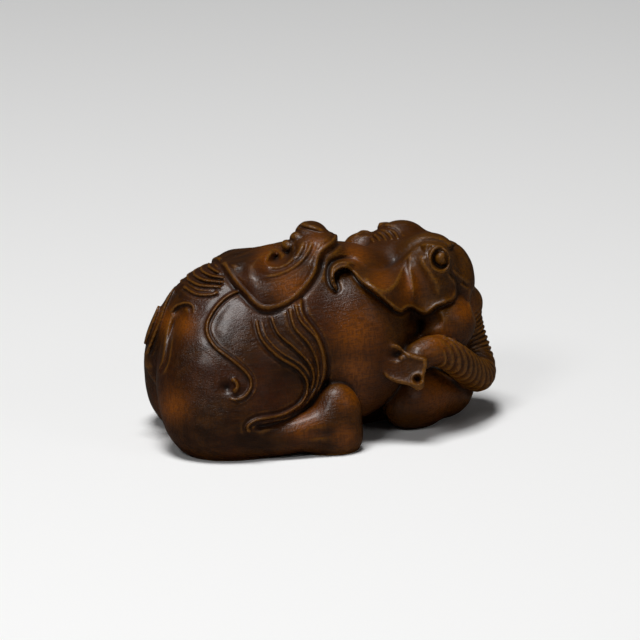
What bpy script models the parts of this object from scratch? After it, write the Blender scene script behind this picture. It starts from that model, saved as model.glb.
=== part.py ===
"""A carved boxwood elephant lying down, made as one solid that rests on its flat underside.

The figure is laid out on a grid of small units. Rounded masses and limbs give its form, and the carving
of its flanks is drawn once, as curves on the side drawing, and cut into both sides.
"""

import bmesh
import bpy
import numpy as np
from math import cos, pi, radians, sin
from mathutils import Matrix

# Real size: the figure is GRID_LENGTH units long
LENGTH = 0.0760
GRID_LENGTH = 76.0
UNIT = LENGTH / GRID_LENGTH

# How finely the block is roughed out and carved, in grid units
ROUGH_GRAIN = 0.9
CARVED_GRAINS = (0.65, 0.5)
FACETS = 9600
PROBE = 0.05
SEAT = 0.06

# The carver's side drawing: the near flank as it is seen from a little in front and above
VIEW_YAW = radians(28.0)
VIEW_PITCH = radians(15.0)
ACROSS = np.array([cos(VIEW_YAW), -sin(VIEW_YAW), 0.0])
TOWARDS = np.array([-sin(VIEW_YAW) * cos(VIEW_PITCH), -cos(VIEW_YAW) * cos(VIEW_PITCH), sin(VIEW_PITCH)])
UPWARDS = np.cross(TOWARDS, ACROSS)

# The spine runs straight ahead of this place and curves away behind it
SPINE_STRAIGHT_FROM = 10.0
SPINE_RADIUS = 123.0
CARVED_EDGE = 1.0
HEM_HEIGHT = 0.25
EAR_RISE = 1.9
FAR_RELIEF = 0.6
FAR_SLIMMER = 1.12
FAR_FORWARD = -0.8

# Masses: centre and half-sizes along, across and up
BARREL = ((-7.8, 0.0, 18.6), (25.6, 17.5, 18.4))
SHOULDERS = ((4.5, 0.0, 20.0), (16.5, 15.5, 16.8))
RUMP = ((-20.5, 0.0, 21.5), (11.5, 12.0, 12.4))
HAUNCH = ((-20.5, -8.5, 13.5), (14.0, 12.0, 14.5))
BUTTOCK = ((-21.4, -12.8, 6.5), (11.0, 9.4, 9.0))
UPPER_ARM = ((3.5, -10.0, 18.5), (8.3, 8.3, 14.0))
BELLY_FOOT = ((1.5, 1.0, 4.0), (26.5, 5.5, 6.0))
SKULL = ((19.0, 0.0, 25.0), (11.5, 11.5, 12.0))
DOME = ((21.0, -6.0, 32.0), (6.9, 5.6, 6.7))
FAR_EAR_ROLL = ((15.4, 9.6, 32.0), (3.6, 2.6, 3.0))
BROW = ((25.6, -3.6, 27.6), (7.0, 5.6, 8.6))
CHEEK = ((23.0, -9.6, 20.6), (6.4, 5.6, 6.2))
FACE_KNUCKLE = ((33.3, -0.4, 21.4), (3.2, 3.0, 3.6))
FOREFOOT = ((18.0, -7.8, 5.4), (9.4, 5.5, 6.3))
FOREFOOT_TURN = 24.0
TOES = ((25.8, -5.0, 5.0), (7.4, 4.4, 5.2))
HIND_FOOT = ((-3.4, -18.0, 7.4), (4.3, 4.2, 6.2))
HOOF = ((-3.9, -17.6, 2.2), (5.0, 4.6, 4.2))
KNOB = ((-1.7, 0.0, 39.7), (3.2, 3.7, 2.6))
COLLAR = ((-1.4, -2.4, 36.8), (4.6, 5.2, 2.7))
BEADS = (((-5.0, -1.2, 39.3), (1.6, 2.0, 1.5)), ((-7.2, -1.2, 38.2), (1.2, 1.8, 1.1)))

# Paths with the radius at each point
SHANK = ((-24.0, -15.0, 4.6), (-18.0, -17.0, 4.0), (-12.0, -18.2, 4.2), (-5.0, -18.4, 6.0))
SHANK_RADII = (4.6, 4.2, 3.8, 4.0)
TRUNK = ((25.0, 0.0, 32.0), (28.2, 0.0, 27.5), (30.6, 0.0, 22.0), (32.8, 0.2, 15.5), (34.1, -2.6, 9.4), (31.4, -8.0, 8.6),
         (25.9, -12.6, 12.2), (21.4, -15.6, 15.4), (16.6, -17.2, 17.8), (12.8, -17.6, 17.0))
TRUNK_RADII = (4.6, 5.0, 4.7, 4.2, 3.7, 3.3, 3.1, 3.0, 3.0, 3.0)
TRUNK_RINGS = 30
RING_HEIGHT = 0.22
TAIL = ((-27.5, 0.0, 30.5), (-31.0, 0.0, 26.3), (-33.0, 0.0, 21.0), (-33.2, 0.0, 15.5), (-32.0, 0.0, 11.5))
TAIL_RADII = (1.2, 2.1, 2.6, 2.8, 1.8)
TAIL_CREST = ((-28.6, 28.4), (-30.4, 24.8), (-31.6, 21.2), (-32.9, 18.0), (-34.4, 14.2))
TAIL_SIDE = ((-28.2, 22.4), (-29.6, 18.0), (-30.4, 13.2), (-31.7, 10.3))

# Carved lines on the side drawing, across and up
SWIRL = ((-19.3, 31.8), (-17.3, 28.7), (-15.2, 26.3), (-12.5, 23.6), (-9.6, 23.0), (-5.8, 24.4), (-2.4, 27.5), (-0.4, 30.6),
         (0.6, 34.2), (3.6, 37.0), (4.6, 42.2), (-4.0, 43.2), (-8.6, 40.2), (-8.0, 37.4), (-6.2, 35.8), (-6.4, 33.6),
         (-8.2, 32.3), (-9.8, 32.8), (-8.8, 34.6), (-10.4, 36.0), (-14.0, 35.5), (-17.6, 34.0), (-19.4, 32.7))
TONGUE = ((-19.6, 33.4), (-16.0, 35.0), (-12.0, 36.2), (-9.0, 36.4), (-7.6, 34.4), (-8.4, 33.2))
SWIRL_LOBE = (-14.0, 29.2)
SWIRL_HOLE = (-8.6, 33.6)
BANDS = (((-11.9, 31.1), (-8.7, 30.8), (-5.6, 32.0), (-3.2, 34.4), (-2.2, 37.2)),
         ((-11.9, 29.1), (-8.0, 29.6), (-4.1, 31.7), (-1.8, 34.4), (-0.6, 37.0)))
S_LINE = ((-15.6, 27.1), (-18.4, 25.8), (-21.0, 23.0), (-22.3, 19.6), (-20.8, 16.2), (-17.0, 13.2), (-14.2, 10.6),
          (-13.5, 8.4), (-14.6, 6.4), (-16.4, 5.6), (-18.0, 5.9))
NUB_HOLLOW = (-18.3, 7.9)
NUB = ((-17.5, 9.8), (-16.4, 8.9), (-16.3, 7.8), (-17.2, 6.9))
FOLD_A = ((-12.6, 21.6), (-11.5, 17.6), (-8.4, 14.2), (-4.2, 11.5), (-2.4, 8.4), (-3.6, 4.9), (-7.6, 2.5), (-12.4, 1.6),
          (-14.2, 0.2), (-13.6, -1.0))
FOLD_B = ((-9.6, 22.2), (-8.2, 18.6), (-4.6, 15.4), (-1.8, 12.2), (-1.2, 9.0), (-2.6, 5.8))
FOLD_C = ((-6.0, 23.8), (-5.0, 19.8), (-2.2, 16.6), (-0.5, 12.8), (-0.4, 8.8), (-2.0, 5.4))
FOLD_D = ((-4.9, 24.8), (-3.9, 21.2), (-0.8, 17.8), (0.6, 13.8), (0.5, 9.6), (-1.0, 6.2))
FOLD_E = ((-3.8, 26.0), (-3.2, 22.2), (-0.4, 18.2), (1.1, 13.8), (0.9, 9.4), (-1.4, 5.0), (-5.2, 2.2), (-10.0, 1.3))
SLEEVE = ((-13.6, 0.2), (-10.4, 0.6), (-6.0, 1.5), (-2.4, 3.6), (0.4, 6.8), (1.5, 10.6))
RUMP_COMB = (((-27.2, 28.0), (-24.6, 26.4), (-21.6, 26.2), (-20.1, 26.8)), ((-26.6, 29.6), (-23.8, 28.1), (-19.4, 27.8)),
             ((-25.4, 30.5), (-22.8, 29.1), (-18.9, 28.7)), ((-24.0, 31.4), (-21.8, 30.1), (-18.8, 29.5)),
             ((-22.7, 32.2), (-20.0, 30.6)))
DIMPLE = ((-29.8, 22.4), (-28.4, 24.0), (-26.4, 24.6), (-25.0, 23.9), (-25.0, 22.2))
DIMPLE_HOLLOW = ((-26.0, 23.1), (-27.9, 22.2), (-29.0, 18.8), (-30.0, 16.0))
EAR = ((3.2, 27.4), (2.1, 29.0), (2.2, 31.6), (4.0, 32.9), (6.6, 32.7), (9.2, 30.9), (12.8, 31.1), (16.4, 33.4), (19.4, 36.0),
       (22.0, 36.5), (24.6, 35.8), (26.1, 33.4), (25.7, 30.6), (27.1, 28.6), (26.9, 25.8), (24.8, 24.5), (23.2, 23.9),
       (20.8, 22.4), (18.0, 23.7), (15.6, 22.9), (12.8, 25.0), (10.6, 26.8), (8.2, 28.6), (6.6, 30.6), (5.0, 31.5),
       (3.3, 30.8), (2.8, 29.2))
EAR_BACK = ((5.6, 32.8), (9.2, 30.7), (12.8, 31.0), (16.4, 33.4), (19.4, 36.0), (21.4, 36.4))
PLEATS = (
    ((8.0, 31.0), (10.2, 28.2), (12.9, 27.0), (15.0, 28.4), (16.2, 31.0), (17.2, 33.4), (19.4, 35.4)),
    ((18.4, 34.8), (17.7, 32.6), (18.2, 29.6), (18.6, 26.6), (18.1, 24.2)),
    ((20.2, 35.0), (20.4, 32.8), (22.0, 30.2), (23.3, 27.8), (23.5, 24.8)),
)
EAR_SPIRAL = (23.9, 33.3)
SPIRAL_SIZE = (2.0, 2.4)
EAR_BALL = (24.4, 33.7)
EAR_HOLLOW = ((16.8, 22.2), (20.4, 20.8), (24.6, 22.0))
THROAT = ((20.0, 22.0), (19.4, 19.0), (17.0, 17.4))
BROW_VALLEY = ((25.8, 36.2), (27.2, 33.6), (29.4, 30.8), (30.8, 29.2))
EYELID = ((26.3, 31.3), (28.4, 29.6), (29.9, 28.6), (31.0, 28.9))
EYE_SLIT = ((28.6, 28.9), (29.8, 28.0), (31.0, 27.9))
TRUNK_TIP = ((12.9, 15.2), (13.6, 16.4), (15.6, 16.5), (17.4, 15.0), (19.4, 14.2), (21.1, 13.6), (21.3, 12.0), (20.7, 9.8),
             (20.7, 8.0), (19.4, 7.1), (17.8, 8.1), (15.6, 8.7), (13.4, 10.0), (13.2, 12.2), (12.9, 13.8))
FLANK_LINES = (
    (FOLD_A, ((0.0, 0.8, 0.75), (-1.2, 0.6, -0.2)), 0.05, 0.03),
    (FOLD_B, ((0.0, 0.7, 0.6),), 0.06, 0.1),
    (FOLD_C, ((0.0, 0.65, 0.55),), 0.06, 0.1),
    (FOLD_E, ((0.0, 0.7, 0.4),), 0.06, 0.1),
    (SLEEVE, ((0.0, 0.9, -0.9),), 0.1, 0.15),
    (S_LINE, ((0.0, 1.7, -0.5), (0.0, 0.75, 1.05)), 0.03, 0.06),
    (NUB, ((0.0, 0.8, 0.8),), 0.2, 0.2),
    (DIMPLE, ((0.0, 0.7, 0.5),), 0.2, 0.2),
    (DIMPLE_HOLLOW, ((0.0, 1.0, -0.8),), 0.2, 0.5),
    (TAIL_SIDE, ((0.0, 0.9, -0.35),), 0.2, 0.15),
) + tuple((knots, ((0.0, 0.5, 0.45),), 0.15, 0.1) for knots in RUMP_COMB)
TAIL_STRANDS = ((0.0, 0.45, 0.6), (-1.0, 0.6, -0.25), (1.0, 0.6, -0.25))
FACE_LINES = (
    (EAR_HOLLOW, ((0.0, 1.3, -1.3),), 0.2, 0.2),
    (THROAT, ((0.0, 0.8, -0.8),), 0.2, 0.2),
    (BROW_VALLEY, ((0.0, 1.2, -0.9),), 0.1, 0.05),
    (EYELID, ((0.0, 0.6, 0.5),), 0.15, 0.05),
    (EYE_SLIT, ((0.0, 0.4, -0.4),), 0.15, 0.05),
)
TIP_FRONT = 17.6
TIP_DEPTH = 6.0
TIP_MIDDLE = 17.2 * ACROSS + 11.8 * UPWARDS + (TIP_FRONT - TIP_DEPTH / 2.0) * TOWARDS
TIP_SIZE = 4.4
NOSTRILS = ((19.3, 9.4, 0.8), (15.5, 14.3, 1.3))


def ease(t):
    t = np.clip(t, 0.0, 1.0)
    return t * t * (3.0 - 2.0 * t)


def bump(distance, width):
    return np.exp(-((distance / width) ** 2))


def blend(a, b, reach):
    overlap = np.maximum(reach - np.abs(a - b), 0.0) / reach
    return np.minimum(a, b) - overlap * overlap * reach / 4.0


def cut(a, b, reach):
    return -blend(-a, -b, reach)


def unbend(points):
    """Lays the curved hind part of the spine out straight."""
    laid = points.copy()
    hind = points[:, 0] < SPINE_STRAIGHT_FROM
    back = SPINE_STRAIGHT_FROM - points[hind, 0]
    aside = SPINE_RADIUS - points[hind, 1]
    laid[hind, 0] = SPINE_STRAIGHT_FROM - SPINE_RADIUS * np.arctan2(back, aside)
    laid[hind, 1] = SPINE_RADIUS - np.hypot(back, aside)
    return laid


def bend(points):
    """Curves straight-spine points back to where they are in the figure."""
    bent = points.copy()
    hind = points[:, 0] < SPINE_STRAIGHT_FROM
    angle = (SPINE_STRAIGHT_FROM - points[hind, 0]) / SPINE_RADIUS
    radius = SPINE_RADIUS - points[hind, 1]
    bent[hind, 0] = SPINE_STRAIGHT_FROM - radius * np.sin(angle)
    bent[hind, 1] = SPINE_RADIUS - radius * np.cos(angle)
    return bent


def near_side(points):
    """Folds the far flank onto the near one; it is slimmer and its hind leg lies further forward."""
    folded = points.copy()
    across = points[:, 1]
    folded[:, 0] -= FAR_FORWARD * ease(across / 8.0) * ease(-points[:, 0] / 20.0)
    folded[:, 1] = np.where(across > 0.0, -FAR_SLIMMER * across, across)
    return folded


def drawing(points):
    return np.stack([points @ ACROSS, points @ UPWARDS], axis=1)


def curve(knots, closed=False, steps=4):
    """A smooth curve through the knots, as short straight steps."""
    p = np.array(knots, float)
    n = len(p)
    pieces = []
    for i in range(n if closed else n - 1):
        if closed:
            a, b, c, d = p[i - 1], p[i], p[(i + 1) % n], p[(i + 2) % n]
        else:
            a, b, c, d = p[max(i - 1, 0)], p[i], p[i + 1], p[min(i + 2, n - 1)]
        t = (np.arange(steps) / steps)[:, None]
        pieces.append(b + 0.5 * t * (c - a + t * (2 * a - 5 * b + 4 * c - d + t * (3 * b - a - 3 * c + d))))
    pieces.append(pieces[0][:1] if closed else p[-1:])
    return np.concatenate(pieces)


def measure(points, line, block=40000):
    """Distance, side (1 left, -1 right) and share along for the nearest place on a line."""
    start, run = line[:-1], line[1:] - line[:-1]
    squared = np.maximum((run**2).sum(1), 1e-12)
    length = np.sqrt(squared)
    before = np.cumsum(length) - length
    found = [np.empty(len(points)) for _ in range(3)]
    for first in range(0, len(points), block):
        here = slice(first, first + block)
        offset = points[here, None, :] - start
        share = np.clip((offset * run).sum(2) / squared, 0, 1)
        apart = ((offset - share[..., None] * run) ** 2).sum(2)
        best = apart.argmin(1)
        row = np.arange(len(best))
        found[0][here] = np.sqrt(apart[row, best])
        cross = run[best, 0] * offset[row, best, 1] - run[best, 1] * offset[row, best, 0]
        found[1][here] = np.where(cross >= 0, 1.0, -1.0)
        found[2][here] = (before[best] + share[row, best] * length[best]) / length.sum()
    return found


def close_to(points, line, reach):
    return ((points > line.min(0) - reach) & (points < line.max(0) + reach)).all(1)


def inside(points, ring):
    """Even and odd crossings of a closed outline."""
    within = np.zeros(len(points), bool)
    for (x1, y1), (x2, y2) in zip(ring[:-1], ring[1:]):
        if y1 != y2:
            crosses = (y1 > points[:, 1]) != (y2 > points[:, 1])
            within ^= crosses & (points[:, 0] < (x2 - x1) * (points[:, 1] - y1) / (y2 - y1) + x1)
    return within


def depth_within(points, ring, reach=6.0):
    """How far each point lies inside a closed outline: negative outside it."""
    depth = np.full(len(points), -reach)
    near = close_to(points, ring, reach)
    if near.any():
        apart = measure(points[near], ring)[0]
        depth[near] = np.where(inside(points[near], ring), apart, -apart)
    return depth


def tapered(share, start, end):
    return ease(share / start) * ease((1.0 - share) / end)


def line_relief(points, knots, strands, start=0.08, end=0.08):
    """Ridges and grooves side by side along a curve; each strand is how far left, how wide and how high."""
    line = curve(knots)
    relief = np.zeros(len(points))
    near = close_to(points, line, max(abs(aside) + 3.0 * width for aside, width, _ in strands))
    if near.any():
        apart, side, share = measure(points[near], line)
        signed = apart * side
        heights = sum(height * bump(signed - aside, width) for aside, width, height in strands)
        relief[near] = heights * tapered(share, start, end)
    return relief


def step_relief(points, knots, height, edge, fall, start, end):
    """A step up on the right of a curve, which falls away again over the surface."""
    line = curve(knots)
    relief = np.zeros(len(points))
    near = close_to(points, line, 4.0 * fall)
    if near.any():
        apart, side, share = measure(points[near], line)
        signed = -apart * side
        fade = np.exp(-np.maximum(signed, 0.0) / fall) * ease(1.6 - signed / fall) * tapered(share, start, end)
        relief[near] = height * ease(signed / edge + 0.5) * fade
    return relief


def spot(points, centre, radius, height):
    return height * bump(np.hypot(*(points - centre).T), radius)


def turned(points, angle):
    c, s = cos(angle), sin(angle)
    return np.stack([points[:, 0] * c + points[:, 1] * s, points[:, 1] * c - points[:, 0] * s, points[:, 2]], axis=1)


def mass(points, shape, turn=0.0):
    """Distance to an ellipsoid, near enough close to its surface."""
    offset = points - np.array(shape[0])
    if turn:
        offset = turned(offset, radians(turn))
    radii = np.array(shape[1])
    near = np.sqrt(((offset / radii) ** 2).sum(1))
    slope = np.sqrt(((offset / radii**2) ** 2).sum(1)) + 1e-9
    return near * (near - 1.0) / slope


def limb(points, path, radii):
    """Distance to a rounded limb along a path, and the share along it."""
    line = curve(path, steps=5)
    reach = max(radii) + 6.0
    distance = np.full(len(points), 6.0)
    share = np.zeros(len(points))
    near = close_to(points, line, reach)
    if near.any():
        apart, _, share[near] = measure(points[near], line)
        length = np.linalg.norm(np.diff(line, axis=0), axis=1)
        passed = np.concatenate([[0.0], np.cumsum(length)]) / length.sum()
        knots = passed[:: 5]
        distance[near] = apart - np.interp(share[near], knots, radii)
    return distance, share


def body(points):
    near = near_side(points)
    shape = mass(points, BARREL)
    shape = blend(shape, mass(points, RUMP), 4.0)
    shape = blend(shape, mass(near, HAUNCH), 4.0)
    shape = blend(shape, mass(near, BUTTOCK), 5.0)
    shape = blend(shape, mass(points, SHOULDERS), 5.0)
    shape = blend(shape, mass(near, UPPER_ARM), 3.5)
    shape = blend(shape, mass(points, COLLAR), 2.0)
    return blend(shape, mass(points, BELLY_FOOT), 2.0)


def head(points):
    near = near_side(points)
    shape = mass(points, SKULL)
    shape = blend(shape, mass(near, DOME), 1.6)
    shape = blend(shape, mass(near, BROW), 1.2)
    shape = blend(shape, mass(points, FAR_EAR_ROLL), 1.0)
    return blend(shape, mass(near, CHEEK), 1.5)


def cloth_relief(points, relief):
    ring = curve(SWIRL, closed=True)
    depth = depth_within(points, ring)
    off = (points - SWIRL_LOBE) / (6.5, 5.5)
    open_edge = 1.0 - 0.6 * line_relief(points, TONGUE, ((0.0, 1.6, 1.0),), 0.1, 0.05)
    raised = 1.3 * open_edge * ease(depth / CARVED_EDGE + 0.3) + 1.5 * ease(depth / 4.0) * bump(np.hypot(*off.T), 1.0)
    raised = raised + HEM_HEIGHT * (bump(depth - 0.6, 0.4) - 0.7 * bump(depth - 1.5, 0.35))
    for band in BANDS:
        raised = raised + line_relief(points, band, ((0.0, 0.6, -0.3), (1.0, 0.8, 0.25)), 0.2, 0.15)
    relief = np.where(depth > -0.3, relief * ease(-depth / 0.3) + raised, relief)
    relief = relief - 0.45 * open_edge * bump(depth + 0.5, 0.45)
    return relief + spot(points, SWIRL_HOLE, 0.8, -1.4)


def flank_relief(points):
    relief = step_relief(points, FOLD_E, 1.4, 0.8, 6.0, 0.06, 0.16)
    for knots, strands, start, end in FLANK_LINES:
        relief += line_relief(points, knots, strands, start, end)
    relief += spot(points, NUB_HOLLOW, 1.0, -0.9)
    return cloth_relief(points, relief)


def face_relief(points):
    relief = np.zeros(len(points))
    for knots, strands, start, end in FACE_LINES:
        relief += line_relief(points, knots, strands, start, end)
    return relief


def ear_relief(points, relief):
    depth = depth_within(points, curve(EAR, closed=True), 4.0)
    attached = line_relief(points, EAR_BACK, ((0.0, 2.2, 1.0),), 0.1, 0.1)
    crest = 0.9 * np.exp(-np.maximum(depth, 0.0) / 0.9) * (1.0 - attached)
    for knots in PLEATS:
        line = curve(knots)
        near = close_to(points, line, 4.5)
        if near.any():
            apart, _, share = measure(points[near], line)
            crest[near] += (1.2 - crest[near]) * np.exp(-apart / 1.2) * tapered(share, 0.05, 0.05)
    from_spiral = 2.2 * np.hypot(*((points - EAR_SPIRAL) / SPIRAL_SIZE).T)
    from_ball = np.hypot(*(points - EAR_BALL).T)
    crest = np.maximum(crest, bump(from_spiral - 2.2, 0.5)) - 1.9 * (1.0 - ease((from_spiral - 1.3) / 0.7))
    crest = crest + 2.3 * np.sqrt(np.clip(1.0 - (from_ball / 1.25) ** 2, 0.0, 1.0))
    rise = EAR_RISE * (1.0 - 0.7 * attached)
    cover = ease(depth / CARVED_EDGE + 0.5)
    groove = (0.8 - 0.6 * attached) * bump(depth + 0.7, 0.6) * (1.0 - cover)
    return relief * (1.0 - cover) + (rise + crest) * cover - groove


def relief(points):
    """Height of the carving above the masses."""
    flat = drawing(bend(near_side(points)))
    height = ear_relief(flat, flank_relief(flat) + face_relief(flat))
    far = ease(points[:, 1] / 4.0 + 0.5)
    return height * (1.0 - (1.0 - FAR_RELIEF) * far)


def tail(points):
    shape = limb(points, TAIL, TAIL_RADII)[0]
    close = shape < 2.0
    if close.any():
        shape[close] -= line_relief(drawing(bend(points[close])), TAIL_CREST, TAIL_STRANDS, 0.1, 0.1)
    return shape


def legs(points):
    near = near_side(points)
    hind = blend(limb(near, SHANK, SHANK_RADII)[0], mass(near, HIND_FOOT), 1.5)
    hind = blend(hind, mass(near, HOOF), 1.0)
    fore = blend(mass(near, FOREFOOT, FOREFOOT_TURN), mass(near, TOES, FOREFOOT_TURN), 1.5)
    return np.minimum(hind, fore)


def trunk(points):
    shape, share = limb(points, TRUNK, TRUNK_RADII)
    shape = shape - rings(share)
    flat = drawing(points)
    ring = curve(TRUNK_TIP, closed=True, steps=3)
    near = close_to(flat, ring, 3.0) & (np.abs(points @ TOWARDS - TIP_FRONT) < 12.0)
    if near.any():
        flat = flat[near]
        toward = points[near] @ TOWARDS
        depth = depth_within(flat, ring, 3.0)
        front = TIP_FRONT + 0.5 * bump(depth - 0.5, 0.45) - 0.5 * ease(depth / 2.0)
        for x, y, radius in NOSTRILS:
            away = np.hypot(flat[:, 0] - x, flat[:, 1] - y)
            front = front - 1.7 * bump(away, radius * 0.8) + 0.35 * bump(away - radius * 1.25, 0.4)
        side = -(depth - 0.32 * np.maximum(TIP_FRONT - toward, 0.0)) * 0.92
        slab = cut(cut(side, toward - front, 0.7), TIP_FRONT - TIP_DEPTH - toward, 0.5)
        shape[near] = blend(shape[near], slab, 1.2)
    return shape


def rings(share):
    return RING_HEIGHT * np.cos(2 * pi * TRUNK_RINGS * share) * ease((share - 0.28) / 0.1) * ease((0.88 - share) / 0.06)


def figure(points, carved=True):
    """Distance outside the figure's surface, in grid units; negative inside."""
    points = unbend(np.asarray(points, float))
    shape = blend(body(points), head(points), 2.2)
    close = shape < 4.5
    if carved and close.any():
        shape[close] -= relief(points[close])
    shape = blend(shape, legs(points), 0.7)
    shape = blend(shape, trunk(points), 0.9)
    shape = blend(shape, mass(points, FACE_KNUCKLE), 0.8)
    shape = blend(shape, mass(points, KNOB), 0.5)
    for bead in BEADS:
        shape = blend(shape, mass(points, bead), 0.4)
    shape = blend(shape, tail(points), 0.6)
    return np.maximum(shape, -points[:, 2])


def ball(mesh, shape, turn=0.0):
    """Adds a stretched ball to the rough block."""
    centre, radii = shape
    place = Matrix.Translation(centre) @ Matrix.Rotation(radians(turn), 4, "Z") @ Matrix.Diagonal((*radii, 1.0))
    bmesh.ops.create_icosphere(mesh, subdivisions=3, radius=1.0, matrix=place)


def mirrored(shape):
    (x, y, z), radii = shape
    return (x, -y / FAR_SLIMMER, z), radii


def beads_along(mesh, path, radii, mirror=False):
    """Adds a row of overlapping balls along a limb."""
    line = curve(path, steps=6)
    sizes = np.interp(np.linspace(0, 1, len(line)), np.linspace(0, 1, len(radii)), radii)
    for place, size in zip(line, sizes):
        bead = (tuple(place), (size,) * 3)
        ball(mesh, mirrored(bead) if mirror else bead)


def rough_block():
    """Balls for the masses and limbs, before they are carved into one surface."""
    rough = bmesh.new()
    for shape in (BARREL, RUMP, SHOULDERS, BELLY_FOOT, SKULL, FAR_EAR_ROLL, FACE_KNUCKLE, KNOB, *BEADS):
        ball(rough, shape)
    for shape in (HAUNCH, BUTTOCK, UPPER_ARM, COLLAR, DOME, BROW, CHEEK, HIND_FOOT, HOOF):
        ball(rough, shape)
        ball(rough, mirrored(shape))
    for shape in (FOREFOOT, TOES):
        ball(rough, shape, FOREFOOT_TURN)
        ball(rough, mirrored(shape), -FOREFOOT_TURN)
    beads_along(rough, SHANK, SHANK_RADII)
    beads_along(rough, SHANK, SHANK_RADII, mirror=True)
    beads_along(rough, TRUNK, TRUNK_RADII)
    ball(rough, (TIP_MIDDLE, (TIP_SIZE,) * 3))
    beads_along(rough, TAIL, TAIL_RADII)
    places = bend(np.array([vertex.co[:] for vertex in rough.verts]))
    for vertex, place in zip(rough.verts, places):
        vertex.co = place
    mesh = bpy.data.meshes.new("elephant")
    rough.to_mesh(mesh)
    rough.free()
    return mesh


def evaluated(figure_object):
    """Swaps an object's mesh for what its modifiers make of it."""
    graph = bpy.context.evaluated_depsgraph_get()
    made = bpy.data.meshes.new_from_object(figure_object.evaluated_get(graph))
    figure_object.modifiers.clear()
    figure_object.data = made


def refine(figure_object, grain):
    """One even skin round everything."""
    skin = figure_object.modifiers.new("Skin", "REMESH")
    skin.mode = "VOXEL"
    skin.voxel_size = grain
    evaluated(figure_object)


def coordinates(mesh):
    places = np.empty(len(mesh.vertices) * 3, np.float32)
    mesh.vertices.foreach_get("co", places)
    return places.reshape(-1, 3).astype(float)


def rough_out(figure_object, passes, most):
    """Moves every vertex down the slope of the figure, towards its surface."""
    mesh = figure_object.data
    places = coordinates(mesh)
    for _ in range(passes):
        height = figure(places)
        slope = np.empty_like(places)
        for axis in range(3):
            aside = places.copy()
            aside[:, axis] += PROBE
            slope[:, axis] = (figure(aside) - height) / PROBE
        steep = np.maximum((slope**2).sum(1), 0.25)
        places -= slope * np.clip(height / steep, -most, most)[:, None]
    mesh.vertices.foreach_set("co", places.ravel())
    mesh.update()


def carve(figure_object, passes, most=0.6):
    """Presses every vertex in or out, square to the skin, until it lies on the figure's surface."""
    mesh = figure_object.data
    places = coordinates(mesh)
    outward = np.empty(len(places) * 3, np.float32)
    mesh.vertex_normals.foreach_get("vector", outward)
    outward = outward.reshape(-1, 3)
    height = figure(places)
    step = np.clip(0.6 * height, -most, most)
    for _ in range(passes):
        places = places - outward * step[:, None]
        left = figure(places)
        moving = np.abs(step) > 1e-3
        steep = np.where(moving, (height - left) / np.where(moving, step, 1.0), 1.0)
        step = np.where(steep > 0.4, np.clip(left / np.maximum(steep, 0.6), -most, most), 0.0)
        height = left
    places = places - outward * step[:, None]
    mesh.vertices.foreach_set("co", places.ravel())
    mesh.update()


def even_out(figure_object, strokes):
    """Spreads the vertices evenly along steep edges, as a light sanding would."""
    smooth = figure_object.modifiers.new("Even", "SMOOTH")
    smooth.factor = 0.5
    smooth.iterations = strokes
    evaluated(figure_object)


def facet(figure_object, count):
    """Thins the skin to broad facets that keep the carving."""
    triangles = sum(len(face.vertices) - 2 for face in figure_object.data.polygons)
    thin = figure_object.modifiers.new("Facets", "DECIMATE")
    thin.ratio = count / triangles
    evaluated(figure_object)


def seat(figure_object):
    """Lays the underside flat and brings the figure to its real size, centred on its footprint."""
    mesh = figure_object.data
    places = coordinates(mesh)
    places[places[:, 2] < SEAT, 2] = 0.0
    middle = (places.min(0) + places.max(0)) / 2.0
    places -= (middle[0], middle[1], 0.0)
    mesh.vertices.foreach_set("co", (places * UNIT).ravel())
    mesh.polygons.foreach_set("use_smooth", [True] * len(mesh.polygons))
    mesh.update()


def boxwood():
    """Dark stained, wax-polished wood."""
    material = bpy.data.materials.new("boxwood")
    material.use_nodes = True
    surface = material.node_tree.nodes["Principled BSDF"]
    surface.inputs["Base Color"].default_value = (0.085, 0.035, 0.012, 1.0)
    surface.inputs["Roughness"].default_value = 0.38
    surface.inputs["Metallic"].default_value = 0.0
    return material


def elephant():
    made = bpy.data.objects.new("elephant", rough_block())
    bpy.context.scene.collection.objects.link(made)
    refine(made, ROUGH_GRAIN)
    rough_out(made, 4, 2.0)
    for grain in CARVED_GRAINS:
        refine(made, grain)
        carve(made, 2)
        even_out(made, 2)
        rough_out(made, 1, 0.4)
    even_out(made, 1)
    facet(made, FACETS)
    seat(made)
    made.data.materials.append(boxwood())
    return made


for old in list(bpy.data.objects):
    bpy.data.objects.remove(old)
elephant()
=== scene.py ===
# %% [markdown]
# # A boxwood elephant that fits in the hand
# The real object is a lying elephant about 75 mm long, carved from one block of boxwood, stained a
# dark brown and then polished by wax and by years of handling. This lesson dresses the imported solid: the form
# stays as it is, and the finer carving, the tool marks and the worn, waxed finish are added to it.
# The carving could be sculpted by hand or painted as a bump. Here it is worked out from curves, because
# real relief catches the light properly from every side and can be changed by moving one curve.

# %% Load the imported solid
from math import cos, pi, radians, sin

import bmesh
import bpy
import numpy as np
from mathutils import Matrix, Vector
from mathutils.kdtree import KDTree


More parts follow.
